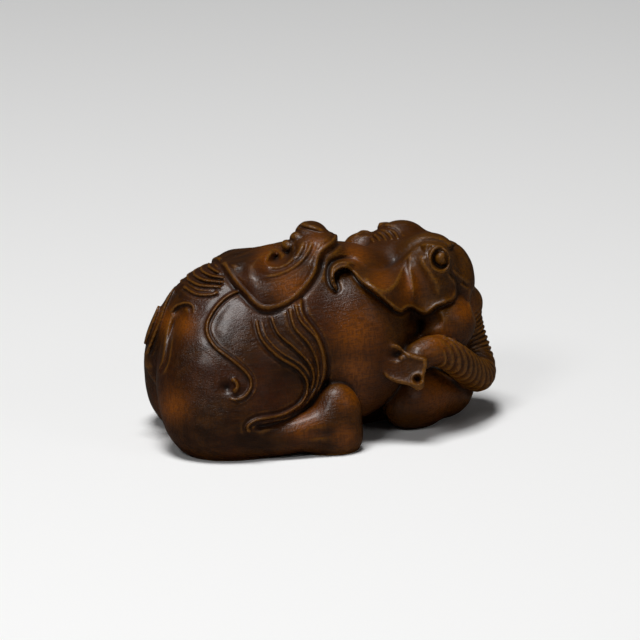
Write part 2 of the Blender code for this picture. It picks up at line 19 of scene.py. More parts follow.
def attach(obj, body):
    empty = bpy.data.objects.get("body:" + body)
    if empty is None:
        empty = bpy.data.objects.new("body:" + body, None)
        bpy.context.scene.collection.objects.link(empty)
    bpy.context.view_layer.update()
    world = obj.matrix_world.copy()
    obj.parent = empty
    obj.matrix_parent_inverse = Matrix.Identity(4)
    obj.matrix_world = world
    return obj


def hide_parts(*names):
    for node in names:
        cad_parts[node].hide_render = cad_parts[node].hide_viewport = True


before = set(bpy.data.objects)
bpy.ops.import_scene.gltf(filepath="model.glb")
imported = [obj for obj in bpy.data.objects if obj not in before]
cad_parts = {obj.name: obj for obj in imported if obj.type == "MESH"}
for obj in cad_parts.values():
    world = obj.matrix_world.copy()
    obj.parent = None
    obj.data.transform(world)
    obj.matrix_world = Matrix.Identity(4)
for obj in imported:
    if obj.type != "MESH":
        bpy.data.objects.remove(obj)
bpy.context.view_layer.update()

# %% [markdown]
# ## The grid and the side drawing
# A carver draws the side of the animal on the block first. The same is done here: points are kept on a grid
# of 1 mm, and a side drawing is laid square to the direction from which the figure is best seen, a little
# from behind and above. Every carved line below is a curve on that drawing, across and up in mm.

# %% Grid and drawing
UNIT = 0.001
FOOTPRINT_MIDDLE = (0.3768, 0.7329)
VIEW_YAW = radians(28.0)
VIEW_PITCH = radians(15.0)
ACROSS = np.array([cos(VIEW_YAW), -sin(VIEW_YAW), 0.0])
TOWARDS = np.array([-sin(VIEW_YAW) * cos(VIEW_PITCH), -cos(VIEW_YAW) * cos(VIEW_PITCH), sin(VIEW_PITCH)])
UPWARDS = np.cross(TOWARDS, ACROSS)


def in_metres(places):
    """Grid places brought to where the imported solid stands."""
    return (np.asarray(places, float) - (*FOOTPRINT_MIDDLE, 0.0)) * UNIT


def on_grid(places):
    return np.asarray(places, float) / UNIT + (*FOOTPRINT_MIDDLE, 0.0)


print("drawing lies square to", TOWARDS.round(3))

# %% [markdown]
# ## The camera
# The photograph was taken from far enough away to look almost flat, so a long lens on a distant camera
# suits it better than a wide one close by.

# %% Camera
CAMERA_DISTANCE = 1.6
FRAME_WIDTH = 0.128
AIM_HEIGHT = 21.2
SENSOR = 36.0

camera = bpy.data.objects.new("camera", bpy.data.cameras.new("camera"))
bpy.context.scene.collection.objects.link(camera)
aim = Vector(in_metres(AIM_HEIGHT * UPWARDS))
camera.location = aim + CAMERA_DISTANCE * Vector(TOWARDS)
camera.rotation_euler = Vector(TOWARDS).to_track_quat("Z", "Y").to_euler()
camera.data.sensor_width = SENSOR
camera.data.lens = SENSOR * CAMERA_DISTANCE / FRAME_WIDTH
camera.data.clip_start = 0.05
camera.data.clip_end = 20.0
bpy.context.scene.camera = camera
print("lens", round(camera.data.lens), "mm")

# %% [markdown]
# ## Working with heights
# The figure is described by one function that says how far any point is outside its skin. Masses and limbs
# are joined with a soft fillet, and carving raises or lowers the skin. These helpers are the joiner's and
# carver's tools for that: a soft step, a rounded bump, a fillet between two forms and a soft cut.

# %% Tools for heights
def ease(t):
    t = np.clip(t, 0.0, 1.0)
    return t * t * (3.0 - 2.0 * t)


def bump(distance, width):
    return np.exp(-((distance / width) ** 2))


def blend(a, b, reach):
    overlap = np.maximum(reach - np.abs(a - b), 0.0) / reach
    return np.minimum(a, b) - overlap * overlap * reach / 4.0


def cut(a, b, reach):
    return -blend(-a, -b, reach)


print("a fillet 1 mm wide takes off", float(-blend(np.array(0.0), np.array(0.0), 1.0)), "mm")

# %% [markdown]
# ## The bent spine
# Seen from above the animal lies in a shallow bow. It is easier to build it straight and bend it at the
# end, as a blacksmith would, and the far flank is the near one folded over.

# %% Bend and fold
SPINE_STRAIGHT_FROM = 10.0
SPINE_RADIUS = 123.0
FAR_SLIMMER = 1.12
FAR_FORWARD = -0.8


def unbend(points):
    """Lays the curved hind part of the spine out straight."""
    laid = points.copy()
    hind = points[:, 0] < SPINE_STRAIGHT_FROM
    back = SPINE_STRAIGHT_FROM - points[hind, 0]
    aside = SPINE_RADIUS - points[hind, 1]
    laid[hind, 0] = SPINE_STRAIGHT_FROM - SPINE_RADIUS * np.arctan2(back, aside)
    laid[hind, 1] = SPINE_RADIUS - np.hypot(back, aside)
    return laid


def bend(points):
    """Curves straight-spine points back to where they are in the figure."""
    bent = points.copy()
    hind = points[:, 0] < SPINE_STRAIGHT_FROM
    angle = (SPINE_STRAIGHT_FROM - points[hind, 0]) / SPINE_RADIUS
    radius = SPINE_RADIUS - points[hind, 1]
    bent[hind, 0] = SPINE_STRAIGHT_FROM - radius * np.sin(angle)
    bent[hind, 1] = SPINE_RADIUS - radius * np.cos(angle)
    return bent


def near_side(points):
    """Folds the far flank onto the near one; it is slimmer and its hind leg lies further forward."""
    folded = points.copy()
    across = points[:, 1]
    folded[:, 0] -= FAR_FORWARD * ease(across / 8.0) * ease(-points[:, 0] / 20.0)
    folded[:, 1] = np.where(across > 0.0, -FAR_SLIMMER * across, across)
    return folded


def drawing(points):
    return np.stack([points @ ACROSS, points @ UPWARDS], axis=1)


tail_end = bend(np.array([[-34.0, 0.0, 20.0]]))[0]
print("the bend carries the tail", round(float(tail_end[1]), 1), "mm towards the far side")

# %% [markdown]
# ## Curves on the drawing
# A carved line is a smooth curve through a few knots. For every point of the skin the script measures how
# far it is from the curve, on which side it lies and how far along, which is all a chisel cut needs.

# %% Curves and distances
def curve(knots, closed=False, steps=4):
    """A smooth curve through the knots, as short straight steps."""
    p = np.array(knots, float)
    n = len(p)
    pieces = []
    for i in range(n if closed else n - 1):
        if closed:
            a, b, c, d = p[i - 1], p[i], p[(i + 1) % n], p[(i + 2) % n]
        else:
            a, b, c, d = p[max(i - 1, 0)], p[i], p[i + 1], p[min(i + 2, n - 1)]
        t = (np.arange(steps) / steps)[:, None]
        pieces.append(b + 0.5 * t * (c - a + t * (2 * a - 5 * b + 4 * c - d + t * (3 * b - a - 3 * c + d))))
    pieces.append(pieces[0][:1] if closed else p[-1:])
    return np.concatenate(pieces)


print("three knots make", len(curve(((0, 0), (1, 1), (2, 0)))), "places")


# %% Distance from a line
def measure(points, line, block=40000):
    """Distance, side (1 left, -1 right) and share along for the nearest place on a line."""
    start, run = line[:-1], line[1:] - line[:-1]
    squared = np.maximum((run**2).sum(1), 1e-12)
    length = np.sqrt(squared)
    before = np.cumsum(length) - length
    found = [np.empty(len(points)) for _ in range(3)]
    for first in range(0, len(points), block):
        here = slice(first, first + block)
        offset = points[here, None, :] - start
        share = np.clip((offset * run).sum(2) / squared, 0, 1)
        apart = ((offset - share[..., None] * run) ** 2).sum(2)
        best = apart.argmin(1)
        row = np.arange(len(best))
        found[0][here] = np.sqrt(apart[row, best])
        cross = run[best, 0] * offset[row, best, 1] - run[best, 1] * offset[row, best, 0]
        found[1][here] = np.where(cross >= 0, 1.0, -1.0)
        found[2][here] = (before[best] + share[row, best] * length[best]) / length.sum()
    return found


def close_to(points, line, reach):
    return ((points > line.min(0) - reach) & (points < line.max(0) + reach)).all(1)


print("beside a line 2 mm long:", [part.round(2) for part in measure(np.array([[1.0, 0.5]]), curve(((0, 0), (2, 0))))])


# %% Inside an outline
def inside(points, ring):
    """Even and odd crossings of a closed outline."""
    within = np.zeros(len(points), bool)
    for (x1, y1), (x2, y2) in zip(ring[:-1], ring[1:]):
        if y1 != y2:
            crosses = (y1 > points[:, 1]) != (y2 > points[:, 1])
            within ^= crosses & (points[:, 0] < (x2 - x1) * (points[:, 1] - y1) / (y2 - y1) + x1)
    return within


def depth_within(points, ring, reach=6.0):
    """How far each point lies inside a closed outline: negative outside it."""
    depth = np.full(len(points), -reach)
    near = close_to(points, ring, reach)
    if near.any():
        apart = measure(points[near], ring)[0]
        depth[near] = np.where(inside(points[near], ring), apart, -apart)
    return depth


square = curve(((-1, -1), (1, -1), (1, 1), (-1, 1)), closed=True)
print("the middle of a rounded square lies", depth_within(np.zeros((1, 2)), square).round(2), "mm inside it")

# %% [markdown]
# ## The cuts of the chisel
# A carver has few kinds of cut: a ridge left between two grooves, a step where one layer lies over another
# and a round hollow. Each is a profile swept along a curve, and it fades out at both ends as a real cut does.
# A displacement painted by hand would do too, but it could not be moved afterwards.

# %% Ridges, grooves, steps and spots
def tapered(share, start, end):
    return ease(share / start) * ease((1.0 - share) / end)


def line_relief(points, knots, strands, start=0.08, end=0.08):
    """Ridges and grooves side by side along a curve; each strand is how far left, how wide and how high."""
    line = curve(knots)
    relief = np.zeros(len(points))
    near = close_to(points, line, max(abs(aside) + 3.0 * width for aside, width, _ in strands))
    if near.any():
        apart, side, share = measure(points[near], line)
        signed = apart * side
        heights = sum(height * bump(signed - aside, width) for aside, width, height in strands)
        relief[near] = heights * tapered(share, start, end)
    return relief


def step_relief(points, knots, height, edge, fall, start, end):
    """A step up on the right of a curve, which falls away again over the surface."""
    line = curve(knots)
    relief = np.zeros(len(points))
    near = close_to(points, line, 4.0 * fall)
    if near.any():
        apart, side, share = measure(points[near], line)
        signed = -apart * side
        fade = np.exp(-np.maximum(signed, 0.0) / fall) * ease(1.6 - signed / fall) * tapered(share, start, end)
        relief[near] = height * ease(signed / edge + 0.5) * fade
    return relief


def spot(points, centre, radius, height):
    return height * bump(np.hypot(*(points - centre).T), radius)


print("half a radius from its middle a spot keeps", spot(np.array([[0.5, 0.0]]), (0.0, 0.0), 1.0, 1.0).round(2))

# %% [markdown]
# ## Masses and limbs
# The rounded masses of the animal are stretched balls, and its limbs are tubes of changing thickness.

# %% Balls and tubes
LIMB_STEPS = 5


def turned(points, angle):
    c, s = cos(angle), sin(angle)
    return np.stack([points[:, 0] * c + points[:, 1] * s, points[:, 1] * c - points[:, 0] * s, points[:, 2]], axis=1)


def mass(points, shape, turn=0.0):
    """Distance to an ellipsoid, near enough close to its surface."""
    offset = points - np.array(shape[0])
    if turn:
        offset = turned(offset, radians(turn))
    radii = np.array(shape[1])
    near = np.sqrt(((offset / radii) ** 2).sum(1))
    slope = np.sqrt(((offset / radii**2) ** 2).sum(1)) + 1e-9
    return near * (near - 1.0) / slope


def limb(points, path, radii, reach=6.0):
    """Distance to a rounded limb along a path, and the share along it."""
    line = curve(path, steps=LIMB_STEPS)
    distance = np.full(len(points), reach)
    share = np.zeros(len(points))
    near = close_to(points, line, max(radii) + reach)
    if near.any():
        apart, _, share[near] = measure(points[near], line)
        length = np.linalg.norm(np.diff(line, axis=0), axis=1)
        passed = np.concatenate([[0.0], np.cumsum(length)]) / length.sum()
        distance[near] = apart - np.interp(share[near], passed[::LIMB_STEPS], radii)
    return distance, share


small_ball = ((0.0, 0.0, 3.0), (1.0, 1.0, 1.0))
print("a ball 2 mm across is", mass(np.zeros((1, 3)), small_ball).round(2), "mm from a point 3 mm off")

# %% [markdown]
# ## The masses of this animal
# The lying elephant is a barrel with a rump and two haunches behind, a round skull in front with a dome,
# a brow and a cheek on each side, and folded feet below. Each mass is a middle and three radii on the grid.
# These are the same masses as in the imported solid, so the finer skin falls where the solid's does.

# %% Sizes of the masses
BARREL = ((-7.8, 0.0, 18.6), (25.6, 17.5, 18.4))
SHOULDERS = ((4.5, 0.0, 20.0), (16.5, 15.5, 16.8))
RUMP = ((-20.5, 0.0, 21.5), (11.5, 12.0, 12.4))
HAUNCH = ((-20.5, -8.5, 13.5), (14.0, 12.0, 14.5))
BUTTOCK = ((-21.4, -12.8, 6.5), (11.0, 9.4, 9.0))
UPPER_ARM = ((3.5, -10.0, 18.5), (8.3, 8.3, 14.0))
BELLY_FOOT = ((1.5, 1.0, 4.0), (26.5, 5.5, 6.0))
SKULL = ((19.0, 0.0, 25.0), (11.5, 11.5, 12.0))
DOME = ((21.0, -6.0, 32.0), (6.9, 5.6, 6.7))
FAR_EAR_ROLL = ((15.4, 9.6, 32.0), (3.6, 2.6, 3.0))
BROW = ((25.6, -3.6, 27.6), (7.0, 5.6, 8.6))
CHEEK = ((23.0, -9.6, 20.6), (6.4, 5.6, 6.2))
FACE_KNUCKLE = ((33.3, -0.4, 21.4), (3.2, 3.0, 3.6))
FOREFOOT = ((18.0, -7.8, 5.4), (9.4, 5.5, 6.3))
FOREFOOT_TURN = 24.0
TOES = ((25.8, -5.0, 5.0), (7.4, 4.4, 5.2))
HIND_FOOT = ((-3.4, -18.0, 7.4), (4.3, 4.2, 6.2))
HOOF = ((-3.9, -17.6, 2.2), (5.0, 4.6, 4.2))
KNOB = ((-1.7, 0.0, 39.7), (3.2, 3.7, 2.6))
COLLAR = ((-1.4, -2.4, 36.8), (4.6, 5.2, 2.7))
BEADS = (((-5.0, -1.2, 39.3), (1.6, 2.0, 1.5)), ((-7.2, -1.2, 38.2), (1.2, 1.8, 1.1)))
print("barrel:", [2 * radius for radius in BARREL[1]], "mm long, wide and high")

# %% Paths of the limbs
SHANK = ((-24.0, -15.0, 4.6), (-18.0, -17.0, 4.0), (-12.0, -18.2, 4.2), (-5.0, -18.4, 6.0))
SHANK_RADII = (4.6, 4.2, 3.8, 4.0)
TRUNK = (
    (25.0, 0.0, 32.0), (28.2, 0.0, 27.5), (30.6, 0.0, 22.0), (32.8, 0.2, 15.5), (34.1, -2.6, 9.4),
    (31.4, -8.0, 8.6), (25.9, -12.6, 12.2), (21.4, -15.6, 15.4), (16.6, -17.2, 17.8), (12.8, -17.6, 17.0),
)
TRUNK_RADII = (4.6, 5.0, 4.7, 4.2, 3.7, 3.3, 3.1, 3.0, 3.0, 3.0)
TAIL = ((-27.5, 0.0, 30.5), (-31.0, 0.0, 26.3), (-33.0, 0.0, 21.0), (-33.2, 0.0, 15.5), (-32.0, 0.0, 11.5))
TAIL_RADII = (1.2, 2.1, 2.6, 2.8, 1.8)
TAIL_CREST = ((-28.6, 28.4), (-30.4, 24.8), (-31.6, 21.2), (-32.9, 18.0), (-34.4, 14.2))
TAIL_SIDE = ((-28.2, 22.4), (-29.6, 18.0), (-30.4, 13.2), (-31.7, 10.3))
trunk_length = np.linalg.norm(np.diff(curve(TRUNK), axis=0), axis=1).sum()
print("trunk:", round(float(trunk_length), 1), "mm along its middle")

# %% [markdown]
# ## The carved lines
# Each line is drawn with a few knots on the side drawing. Beside it run strands: a ridge is a strand with
# a height, a groove one with a depth. The cord of the S, the folds of the haunch and the comb of the rump
# all come from this one table, so a line can be moved or made bolder by one number.

# %% Knots of the lines on cloth, haunch and rump
SWIRL = (
    (-19.3, 31.8), (-17.3, 28.7), (-15.2, 26.3), (-12.5, 23.6), (-9.6, 23.0), (-5.8, 24.4), (-2.4, 27.5),
    (-0.4, 30.6), (0.6, 34.2), (3.6, 37.0), (4.6, 42.2), (-4.0, 43.2), (-8.6, 40.2), (-8.0, 37.4), (-6.2, 35.8),
    (-6.4, 33.6), (-8.2, 32.3), (-9.8, 32.8), (-8.8, 34.6), (-10.4, 36.0), (-14.0, 35.5), (-17.6, 34.0),
    (-19.4, 32.7),
)
TONGUE = ((-19.6, 33.4), (-16.0, 35.0), (-12.0, 36.2), (-9.0, 36.4), (-7.6, 34.4), (-8.4, 33.2))
SWIRL_LOBE = (-14.0, 29.2)
SWIRL_HOLE = (-8.6, 33.6)
BANDS = (((-11.9, 31.1), (-8.7, 30.8), (-5.6, 32.0), (-3.2, 34.4), (-2.2, 37.2)),
         ((-11.9, 29.1), (-8.0, 29.6), (-4.1, 31.7), (-1.8, 34.4), (-0.6, 37.0)))
S_LINE = ((-15.6, 27.1), (-18.4, 25.8), (-21.0, 23.0), (-22.3, 19.6), (-20.8, 16.2), (-17.0, 13.2), (-14.2, 10.6),
          (-13.5, 8.4), (-14.6, 6.4), (-16.4, 5.6), (-18.0, 5.9))
NUB_HOLLOW = (-18.3, 7.9)
NUB = ((-17.5, 9.8), (-16.4, 8.9), (-16.3, 7.8), (-17.2, 6.9))
FOLD_A = ((-12.6, 21.6), (-11.5, 17.6), (-8.4, 14.2), (-4.2, 11.5), (-2.4, 8.4), (-3.6, 4.9), (-7.6, 2.5), (-12.4, 1.6),
          (-14.2, 0.2), (-13.6, -1.0))
FOLD_B = ((-9.6, 22.2), (-8.2, 18.6), (-4.6, 15.4), (-1.8, 12.2), (-1.2, 9.0), (-2.6, 5.8))
FOLD_C = ((-6.0, 23.8), (-5.0, 19.8), (-2.2, 16.6), (-0.5, 12.8), (-0.4, 8.8), (-2.0, 5.4))
FOLD_D = ((-4.9, 24.8), (-3.9, 21.2), (-0.8, 17.8), (0.6, 13.8), (0.5, 9.6), (-1.0, 6.2))
FOLD_E = ((-3.8, 26.0), (-3.2, 22.2), (-0.4, 18.2), (1.1, 13.8), (0.9, 9.4), (-1.4, 5.0), (-5.2, 2.2), (-10.0, 1.3))
SLEEVE = ((-13.6, 0.2), (-10.4, 0.6), (-6.0, 1.5), (-2.4, 3.6), (0.4, 6.8), (1.5, 10.6))
RUMP_COMB = (
    ((-27.2, 28.0), (-24.6, 26.4), (-21.6, 26.2), (-20.1, 26.8)), ((-26.6, 29.6), (-23.8, 28.1), (-19.4, 27.8)),
    ((-25.4, 30.5), (-22.8, 29.1), (-18.9, 28.7)), ((-24.0, 31.4), (-21.8, 30.1), (-18.8, 29.5)),
    ((-22.7, 32.2), (-20.0, 30.6)),
)
DIMPLE = ((-29.8, 22.4), (-28.4, 24.0), (-26.4, 24.6), (-25.0, 23.9), (-25.0, 22.2))
DIMPLE_HOLLOW = ((-26.0, 23.1), (-27.9, 22.2), (-29.0, 18.8), (-30.0, 16.0))
print("wrinkles on the rump:", len(RUMP_COMB))

# %% Knots of the lines on ear and face
EAR = (
    (3.2, 27.4), (2.1, 29.0), (2.2, 31.6), (4.0, 32.9), (6.6, 32.7), (9.2, 30.9), (12.8, 31.1), (16.4, 33.4),
    (19.4, 36.0), (22.0, 36.5), (24.6, 35.8), (26.1, 33.4), (25.7, 30.6), (27.1, 28.6), (26.9, 25.8), (24.8, 24.5),
    (23.2, 23.9), (20.8, 22.4), (18.0, 23.7), (15.6, 22.9), (12.8, 25.0), (10.6, 26.8), (8.2, 28.6), (6.6, 30.6),
    (5.0, 31.5), (3.3, 30.8), (2.8, 29.2),
)
EAR_BACK = ((5.6, 32.8), (9.2, 30.7), (12.8, 31.0), (16.4, 33.4), (19.4, 36.0), (21.4, 36.4))
PLEATS = (
    ((8.0, 31.0), (10.2, 28.2), (12.9, 27.0), (15.0, 28.4), (16.2, 31.0), (17.2, 33.4), (19.4, 35.4)),
    ((18.4, 34.8), (17.7, 32.6), (18.2, 29.6), (18.6, 26.6), (18.1, 24.2)),
    ((20.2, 35.0), (20.4, 32.8), (22.0, 30.2), (23.3, 27.8), (23.5, 24.8)),
)
EAR_SPIRAL = (23.9, 33.3)
SPIRAL_SIZE = (2.0, 2.4)
EAR_BALL = (24.4, 33.7)
EAR_HOLLOW = ((16.8, 22.2), (20.4, 20.8), (24.6, 22.0))
THROAT = ((20.0, 22.0), (19.4, 19.0), (17.0, 17.4))
BROW_VALLEY = ((25.8, 36.2), (27.2, 33.6), (29.4, 30.8), (30.8, 29.2))
WRINKLES = 5
HEAD_WRINKLES = tuple(
    ((11.4 - 1.0 * k, 39.4 - 0.42 * k), (14.6 - 1.2 * k, 38.9 - 0.28 * k), (15.7 - 1.2 * k, 37.3 - 0.16 * k))
    for k in range(WRINKLES)
)
CHEEK_EDGE = ((30.7, 27.6), (30.4, 25.4), (31.0, 22.2), (32.0, 20.2))
EYELID = ((26.3, 31.3), (27.8, 30.0), (29.2, 29.2))
EYE_SLIT = ((28.2, 29.0), (29.2, 28.2), (30.1, 28.0))
print("pleats of the ear:", len(PLEATS))

# %% Strands beside each line
FLAME_STRANDS = ((0.0, 0.22, 0.5), (-0.55, 0.3, -0.28), (0.55, 0.2, 0.14))
FLANK_LINES = (
    (FOLD_A, ((0.0, 0.27, 0.62), (-0.65, 0.36, -0.22), (0.5, 0.24, -0.18), (0.95, 0.22, 0.14)), 0.05, 0.03),
    (FOLD_B, FLAME_STRANDS, 0.06, 0.1),
    (FOLD_C, FLAME_STRANDS, 0.06, 0.1),
    (FOLD_D, ((0.0, 0.22, 0.42), (-0.5, 0.28, -0.26)), 0.06, 0.1),
    (FOLD_E, ((0.0, 0.24, 0.36), (0.6, 0.3, -0.26), (-0.5, 0.22, -0.14)), 0.06, 0.06),
    (SLEEVE, ((0.0, 0.75, -0.9),), 0.1, 0.15),
    (S_LINE, ((0.0, 1.4, -0.32), (0.0, 0.32, 0.85), (0.95, 0.28, 0.16)), 0.03, 0.06),
    (NUB, ((0.0, 0.4, 0.7),), 0.2, 0.2),
    (DIMPLE, ((0.0, 0.28, 0.42), (-0.65, 0.45, -0.3)), 0.2, 0.2),
    (DIMPLE_HOLLOW, ((0.0, 1.0, -0.7),), 0.2, 0.5),
    (TAIL_SIDE, ((0.0, 0.45, -0.4), (0.6, 0.3, 0.15)), 0.2, 0.15),
) + tuple((knots, ((0.0, 0.24, 0.36), (0.5, 0.24, -0.3), (-0.5, 0.24, -0.26)), 0.12, 0.06) for knots in RUMP_COMB)
TAIL_STRANDS = ((0.0, 0.28, 0.5), (-0.7, 0.36, -0.35), (0.7, 0.36, -0.35), (1.3, 0.26, 0.25), (-1.3, 0.26, 0.25))
FACE_LINES = (
    (EAR_HOLLOW, ((0.0, 1.3, -1.1),), 0.2, 0.2),
    (THROAT, ((0.0, 0.8, -0.8),), 0.2, 0.2),
    (BROW_VALLEY, ((0.0, 1.2, -0.7),), 0.1, 0.5),
    (EYELID, ((0.0, 0.28, 0.4), (0.5, 0.28, -0.2)), 0.15, 0.5),
    (EYE_SLIT, ((0.0, 0.26, -0.4), (-0.5, 0.28, 0.2)), 0.15, 0.5),
    (CHEEK_EDGE, ((0.0, 0.3, -0.35), (-0.6, 0.35, 0.2)), 0.1, 0.2),
)
WRINKLE_STRANDS = ((0.0, 0.26, 0.4), (0.58, 0.28, -0.45))
print("carved lines:", len(FLANK_LINES) + len(FACE_LINES) + len(HEAD_WRINKLES))

# %% [markdown]
# ## Body and head
# Every mass is joined to the last one with its own fillet: wide where flesh meets flesh, narrow where a
# form stands clear. Separate balls joined by a Boolean would leave hard seams, which no carver leaves.

# %% Body and head
# Each mass, the width of its fillet, and whether both flanks have one
BODY_MASSES = (
    (RUMP, 4.0, False), (HAUNCH, 4.0, True), (BUTTOCK, 5.0, True), (SHOULDERS, 5.0, False), (UPPER_ARM, 3.5, True),
    (COLLAR, 2.0, False), (BELLY_FOOT, 2.0, False),
)
HEAD_MASSES = ((DOME, 1.6, True), (BROW, 1.2, True), (FAR_EAR_ROLL, 1.0, False), (CHEEK, 1.5, True))


def joined(points, first, others):
    """The first mass with the others blended onto it, in their order."""
    near = near_side(points)
    shape = mass(points, first)
    for form, fillet, on_both_flanks in others:
        shape = blend(shape, mass(near if on_both_flanks else points, form), fillet)
    return shape


def body(points):
    return joined(points, BARREL, BODY_MASSES)


def head(points):
    return joined(points, SKULL, HEAD_MASSES)


print("masses:", 2 + len(BODY_MASSES) + len(HEAD_MASSES))

# %% [markdown]
# ## Saddle cloth and folds
# On the back lies a cloth with a rounded edge, swept into a swirl, and below it folds run down the haunch
# like flames. The cloth is a raised field inside a closed outline, and the folds are strands beside curves.
# Both could be separate meshes laid on the body, but on the real piece they are cut from the same wood.

# %% Carving on the flank
CLOTH_RISE = 1.3
LOBE_RISE = 1.5
LOBE_SIZE = (6.5, 5.5)
HEM_HEIGHT = 0.18
CORNER_HOLLOW = (-15.4, 31.2)


def cloth_relief(points, relief):
    """The saddle cloth: a rounded edge with a rolled hem, a lobe that swells and bands round the swirl."""
    ring = curve(SWIRL, closed=True)
    depth = depth_within(points, ring)
    off = (points - SWIRL_LOBE) / LOBE_SIZE
    open_edge = 1.0 - 0.6 * line_relief(points, TONGUE, ((0.0, 1.6, 1.0),), 0.1, 0.05)
    raised = CLOTH_RISE * open_edge * ease(depth / 1.5 + 0.25)
    raised = raised + LOBE_RISE * ease(depth / 4.0) * bump(np.hypot(*off.T), 1.0)
    raised = raised + HEM_HEIGHT * (bump(depth - 0.5, 0.34) - 0.8 * bump(depth - 1.25, 0.34))
    for band in BANDS:
        raised = raised + line_relief(points, band, ((0.0, 0.5, -0.45), (0.9, 0.65, 0.34)), 0.2, 0.15)
    raised = raised + line_relief(points, TONGUE, ((-0.9, 0.4, -0.3),), 0.2, 0.1)
    relief = np.where(depth > -0.38, relief * ease(-depth / 0.38) + raised, relief)
    relief = relief - 0.25 * open_edge * bump(depth + 0.5, 0.4)
    return relief + spot(points, SWIRL_HOLE, 0.75, -1.5) + spot(points, CORNER_HOLLOW, 1.2, -0.8)


def flank_relief(points):
    relief = step_relief(points, FOLD_E, height=1.3, edge=0.7, fall=4.5, start=0.06, end=0.35)
    for knots, strands, start, end in FLANK_LINES:
        relief += line_relief(points, knots, strands, start, end)
    relief += spot(points, NUB_HOLLOW, 1.0, -0.9)
    return cloth_relief(points, relief)


print("the cloth stands", CLOTH_RISE, "mm proud and its lobe", LOBE_RISE, "mm more")

# %% [markdown]
# ## Ear and face
# The ear is a thin pleated flap with a rolled lip, and at its root it curls into a spiral round a ball. It
# is raised where it hangs free and sinks into the head where it grows from it. A sheet with cloth
# simulation would hang too softly for wood, so the pleats are drawn.

# %% Carving on the head
EAR_RISE = 1.9
LIP_RISE = 0.75
PLEAT_RISE = 1.15
SPIRAL_DEPTH = 1.1
BALL_RISE = 1.9
BALL_RADIUS = 1.75
EAR_FRONT = ((25.2, 35.0), (26.1, 33.4), (25.7, 30.6), (27.1, 28.6), (26.9, 25.8), (24.8, 24.5))


def face_relief(points):
    relief = np.zeros(len(points))
    for knots, strands, start, end in FACE_LINES:
        relief += line_relief(points, knots, strands, start, end)
    return relief


def ear_relief(points, relief):
    """The ear: a rolled lip, pleats that fan out from its root, and a spiral round a ball."""
    depth = depth_within(points, curve(EAR, closed=True), 4.0)
    attached = line_relief(points, EAR_BACK, ((0.0, 2.2, 1.0),), 0.1, 0.1)
    sunk = line_relief(points, EAR_FRONT, ((0.0, 1.6, 0.75),), 0.1, 0.15)
    crest = LIP_RISE * np.exp(-np.maximum(depth, 0.0) / 0.5) * (1.0 - attached)
    for knots in PLEATS:
        line = curve(knots)
        near = close_to(points, line, 4.5)
        if near.any():
            apart, _, share = measure(points[near], line)
            pleat = 0.7 * bump(apart, 1.5) + 0.3 * np.exp(-apart / 0.5)
            crest[near] += (PLEAT_RISE - crest[near]) * pleat * tapered(share, 0.15, 0.3)
    from_spiral = 2.2 * np.hypot(*((points - EAR_SPIRAL) / SPIRAL_SIZE).T)
    from_ball = np.hypot(*(points - EAR_BALL).T)
    crest = np.maximum(crest * ease((from_spiral - 1.6) / 1.2), bump(from_spiral - 2.3, 0.4))
    crest = crest - SPIRAL_DEPTH * (1.0 - ease((from_spiral - 1.4) / 0.7))
    crest = crest + BALL_RISE * np.clip(1.0 - (from_ball / BALL_RADIUS) ** 2, 0.0, 1.0) ** 0.7
    rise = EAR_RISE * (1.0 - 0.7 * attached) * (1.0 - 0.55 * sunk)
    cover = ease(depth / 0.8 + 0.5)
    groove = 0.4 * (1.0 - 0.8 * attached) * (1.0 - sunk) * bump(depth + 0.5, 0.45) * (1.0 - cover)
    return relief * (1.0 - cover) + (rise + crest) * cover - groove


print("the ear stands", EAR_RISE, "mm proud and the ball in it is", 2 * BALL_RADIUS, "mm across")

# %% All the relief of the flanks
WOBBLE_HEIGHT = 0.04
CROWN_HEIGHT = 32.0
FAR_RELIEF = 0.6


def wobble(points):
    """No carved surface is quite smooth: shallow waves left by hand and blade."""
    across, up = points.T
    return np.sin(1.15 * across + 0.6 * up) * np.sin(0.95 * up - 0.45 * across + 1.0)


def relief(points):
    """Height of the carving above the masses."""
    flat = drawing(bend(near_side(points)))
    height = ear_relief(flat, flank_relief(flat) + face_relief(flat)) + WOBBLE_HEIGHT * wobble(flat)
    crown = (points[:, 2] > CROWN_HEIGHT) & (points[:, 0] > 0.0)
    if crown.any():
        seen = drawing(bend(points[crown]))
        height[crown] += sum(line_relief(seen, knots, WRINKLE_STRANDS, 0.2, 0.1) for knots in HEAD_WRINKLES)
    far = ease(points[:, 1] / 4.0 + 0.5)
    return height * (1.0 - (1.0 - FAR_RELIEF) * far)


print("the far flank keeps", FAR_RELIEF, "of the carving's height")

# %% [markdown]
# ## Tail, legs and knob
# The tail lies on the rump with its hairs cut as long strands. The legs are folded under the body, and only
# the shank and the feet show. The knob on the saddle is a flattened ball with the line of its lid.

# %% Tail, legs and knob
KNOB_LID = ((-4.2, 40.0), (-3.4, 39.6), (-1.0, 38.9), (1.2, 38.0), (2.4, 37.4))
LID_STRANDS = ((-0.1, 0.3, -0.4), (0.6, 0.5, 0.25))
FOOT_CREASE = ((22.2, 12.0), (24.6, 10.6), (27.0, 9.2), (29.0, 7.6), (31.0, 6.2))
PAD_CREASE = ((-3.8, -2.2), (-1.6, -1.3), (1.2, -1.1), (3.8, -1.5))
CREASE_REACH = 2.0


def tail(points):
    shape = limb(points, TAIL, TAIL_RADII)[0]
    close = shape < CREASE_REACH
    if close.any():
        shape[close] -= line_relief(drawing(bend(points[close])), TAIL_CREST, TAIL_STRANDS, 0.1, 0.1)
    return shape


